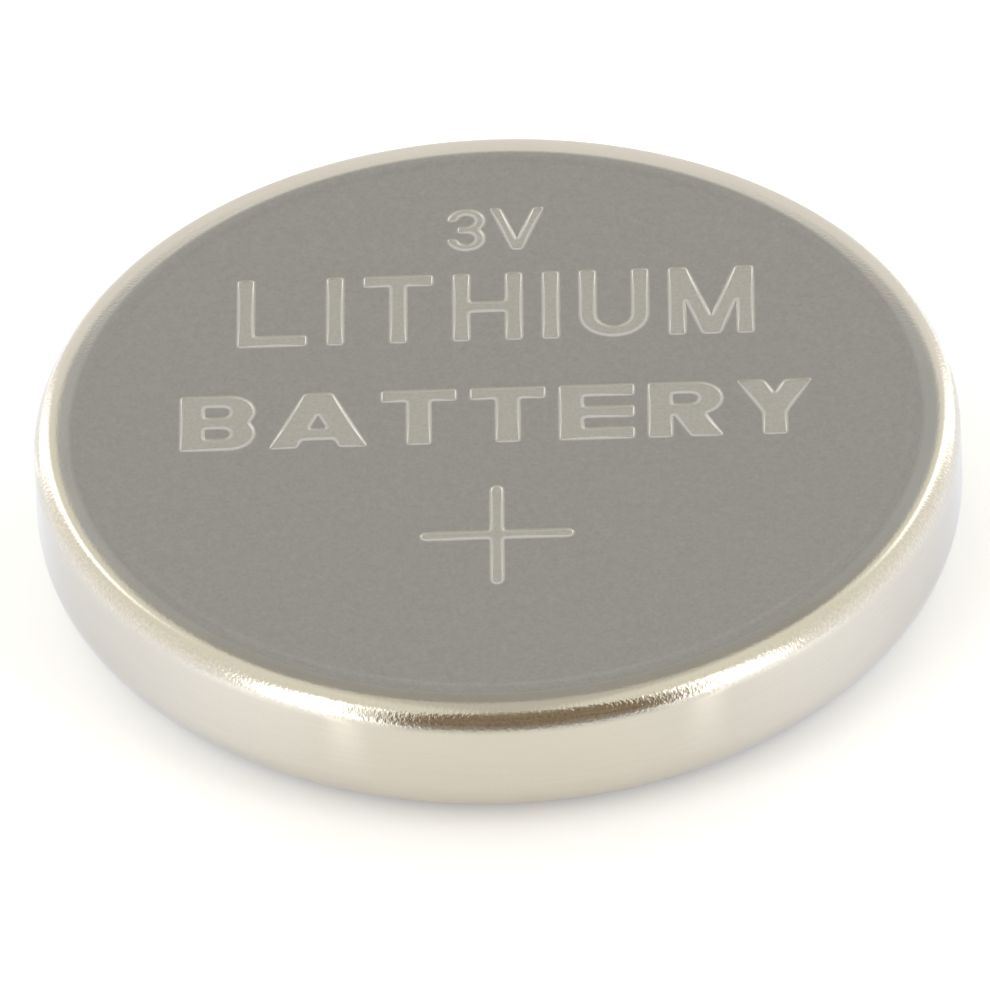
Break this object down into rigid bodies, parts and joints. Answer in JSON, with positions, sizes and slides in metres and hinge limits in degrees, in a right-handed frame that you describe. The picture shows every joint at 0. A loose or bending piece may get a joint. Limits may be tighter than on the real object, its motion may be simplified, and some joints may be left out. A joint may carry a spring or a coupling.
{
  "type": "lithium coin cell",
  "caption": "Round flat lithium cell: a stamped can that is the positive pole, crimped through a plastic gasket over a stepped negative cap, with both electrodes and the separator inside.",
  "frame": {"origin": "centre of the negative face, on which the cell rests", "axes": "+Z along the cell's axis and out of the positive face; the marks read from -Y, with +X to the reader's right"},
  "size_m": [0.02, 0.02, 0.0032],
  "materials": {
    "can_steel": "nickel-plated stainless steel, fine satin face with frosted stamped marks, brighter rim and wall",
    "cap_steel": "nickel-plated stainless steel, satin",
    "gasket_plastic": "moulded polypropylene with a dark sealant film",
    "cathode_mix": "pressed manganese dioxide and graphite powder, matt",
    "ring_steel": "plain stainless steel sheet",
    "separator_cloth": "non-woven polypropylene",
    "lithium_metal": "soft rolled metal, dull"
  },
  "bodies": {
    "root": {"positive_can": "can_steel", "negative_cap": "cap_steel", "gasket": "gasket_plastic", "cathode_pellet": "cathode_mix", "cathode_ring": "ring_steel", "separator": "separator_cloth", "lithium_disc": "lithium_metal"}
  },
  "joints": []
}
